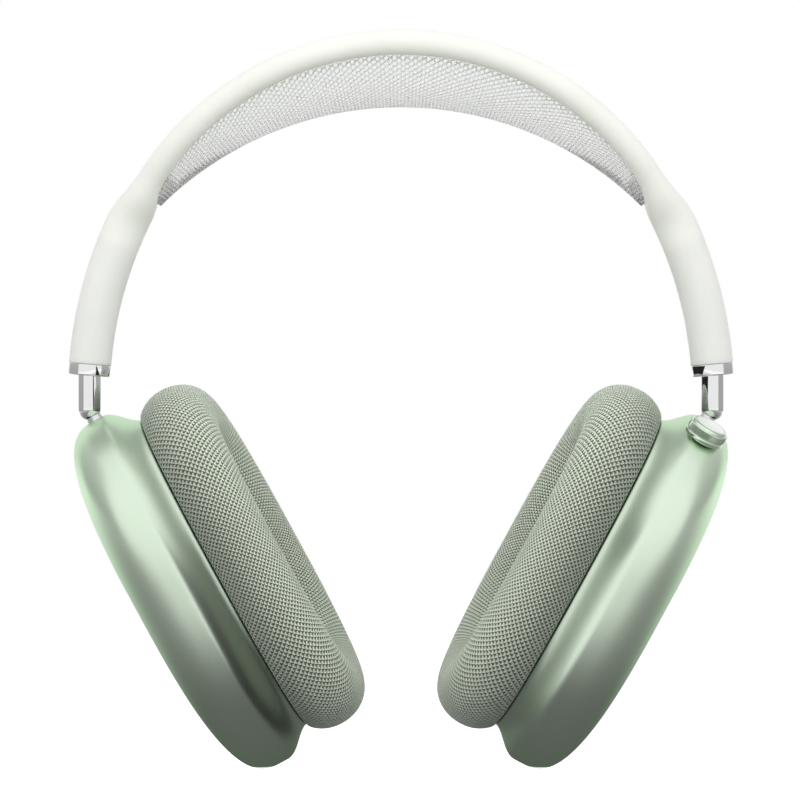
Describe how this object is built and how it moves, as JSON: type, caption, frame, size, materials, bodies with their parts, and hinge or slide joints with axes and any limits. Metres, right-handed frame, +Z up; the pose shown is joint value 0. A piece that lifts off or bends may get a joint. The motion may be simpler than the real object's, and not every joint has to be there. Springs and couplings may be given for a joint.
{
  "type": "over-ear headphones",
  "caption": "Wireless over-ear headphones: branching headband with a knitted canopy, telescoping rods, cups that swivel and tilt, knitted cushions.",
  "frame": {"origin": "head rest: the lowest point of the canopy's middle, where it lies on the wearer's head", "axes": "+Z up, +X towards the wearer's right, +Y the way the wearer faces"},
  "size_m": [0.1694, 0.0834, 0.187],
  "materials": {
    "cover_elastomer": "matte, soft to the touch",
    "frame_steel": "satin stainless steel",
    "canopy_net": "open knitted net",
    "polished_steel": "mirror-polished stainless steel",
    "inner_plastic": "moulded, matte",
    "anodised_shell": "fine blasted and anodised, pale green",
    "anodised_crown": "anodised, fine grooves round its edge",
    "crown_bright": "polished cap",
    "cushion_knit": "knitted mesh over foam",
    "ear_net": "fine dark net",
    "magnet_steel": "nickel plated",
    "black_plastic": "moulded, matte",
    "diaphragm_film": "thin formed film",
    "circuit_board": "solder mask",
    "spring_bronze": "phosphor bronze",
    "battery_foil": "laminate pouch",
    "socket_steel": "nickel plated"
  },
  "bodies": {
    "headband": {"headband_frame": "frame_steel", "headband_cover": "cover_elastomer", "canopy_mesh": "canopy_net", "left_arm_tube": "frame_steel", "left_arm_bush": "inner_plastic", "left_arm_collar": "polished_steel", "right_arm_tube": "frame_steel", "right_arm_bush": "inner_plastic", "right_arm_collar": "polished_steel"},
    "left_rod": {"left_arm_rod": "polished_steel", "left_rod_stop": "inner_plastic", "left_hinge_clip": "frame_steel"},
    "left_pivot": {"left_hinge_ball": "frame_steel"},
    "left_cup": {"left_cup_shell": "anodised_shell", "left_cup_baffle": "inner_plastic", "left_baffle_screws": "frame_steel", "left_cushion_magnets": "magnet_steel", "left_driver_basket": "black_plastic", "left_driver_magnet": "magnet_steel", "left_driver_diaphragm": "diaphragm_film", "left_driver_grille": "black_plastic", "left_logic_board": "circuit_board", "left_hinge_bracket": "inner_plastic", "left_tilt_spring": "spring_bronze"},
    "left_pad": {"left_cushion_plate": "inner_plastic", "left_cushion": "cushion_knit", "left_ear_mesh": "ear_net"},
    "right_rod": {"right_arm_rod": "polished_steel", "right_rod_stop": "inner_plastic", "right_hinge_clip": "frame_steel"},
    "right_pivot": {"right_hinge_ball": "frame_steel"},
    "right_cup": {"right_cup_shell": "anodised_shell", "right_cup_baffle": "inner_plastic", "right_baffle_screws": "frame_steel", "right_cushion_magnets": "magnet_steel", "right_driver_basket": "black_plastic", "right_driver_magnet": "magnet_steel", "right_driver_diaphragm": "diaphragm_film", "right_driver_grille": "black_plastic", "right_logic_board": "circuit_board", "right_hinge_bracket": "inner_plastic", "right_tilt_spring": "spring_bronze", "battery_cells": "battery_foil", "charging_socket": "socket_steel", "crown_housing": "inner_plastic", "crown_switch": "magnet_steel", "button_switch": "black_plastic"},
    "right_pad": {"right_cushion_plate": "inner_plastic", "right_cushion": "cushion_knit", "right_ear_mesh": "ear_net"},
    "crown_turn": {"crown_hub": "spring_bronze"},
    "crown": {"crown_knob": "anodised_crown", "crown_cap": "crown_bright", "crown_shaft": "frame_steel"},
    "noise_button": {"noise_button": "anodised_shell"}
  },
  "joints": [
    {"name": "left_rod_slide", "type": "slide", "parent": "headband", "child": "left_rod", "axis": [0, 0, -1], "range_m": [0, 0.02]},
    {"name": "left_swivel", "type": "hinge", "parent": "left_rod", "child": "left_pivot", "pos_m": [-0.07515, 0, -0.08367], "axis": [0.4787, 0, -0.878], "range_deg": [-12, 84]},
    {"name": "left_tilt", "type": "hinge", "parent": "left_pivot", "child": "left_cup", "pos_m": [-0.07515, 0, -0.08367], "axis": [0.0383, 0.999, 0.0209], "range_deg": [0, 25], "stiffness_Nm_per_rad": 0.1, "springref_deg": -34.38},
    {"name": "left_cushion_pull", "type": "slide", "parent": "left_cup", "child": "left_pad", "axis": [0.8771, -0.0436, 0.4782], "range_m": [0, 0.012]},
    {"name": "right_rod_slide", "type": "slide", "parent": "headband", "child": "right_rod", "axis": [0, 0, -1], "range_m": [0, 0.02]},
    {"name": "right_swivel", "type": "hinge", "parent": "right_rod", "child": "right_pivot", "pos_m": [0.07515, 0, -0.08367], "axis": [0.4787, 0, 0.878], "range_deg": [-12, 84]},
    {"name": "right_tilt", "type": "hinge", "parent": "right_pivot", "child": "right_cup", "pos_m": [0.07515, 0, -0.08367], "axis": [0.0383, -0.999, -0.0209], "range_deg": [0, 25], "stiffness_Nm_per_rad": 0.1, "springref_deg": -34.38},
    {"name": "right_cushion_pull", "type": "slide", "parent": "right_cup", "child": "right_pad", "axis": [-0.8771, -0.0436, 0.4782], "range_m": [0, 0.012]},
    {"name": "crown_turn", "type": "hinge", "parent": "right_cup", "child": "crown_turn", "pos_m": [0.07592, -0.02298, -0.08404], "axis": [0.4681, -0.3004, 0.8311], "continuous": true},
    {"name": "crown_press", "type": "slide", "parent": "crown_turn", "child": "crown", "axis": [-0.4681, 0.3004, -0.8311], "range_m": [0, 0.00035], "stiffness_N_per_m": 2500, "springref_m": -0.0003},
    {"name": "button_press", "type": "slide", "parent": "right_cup", "child": "noise_button", "axis": [-0.4332, -0.358, -0.8272], "range_m": [0, 0.00035], "stiffness_N_per_m": 2500, "springref_m": -0.0003}
  ]
}
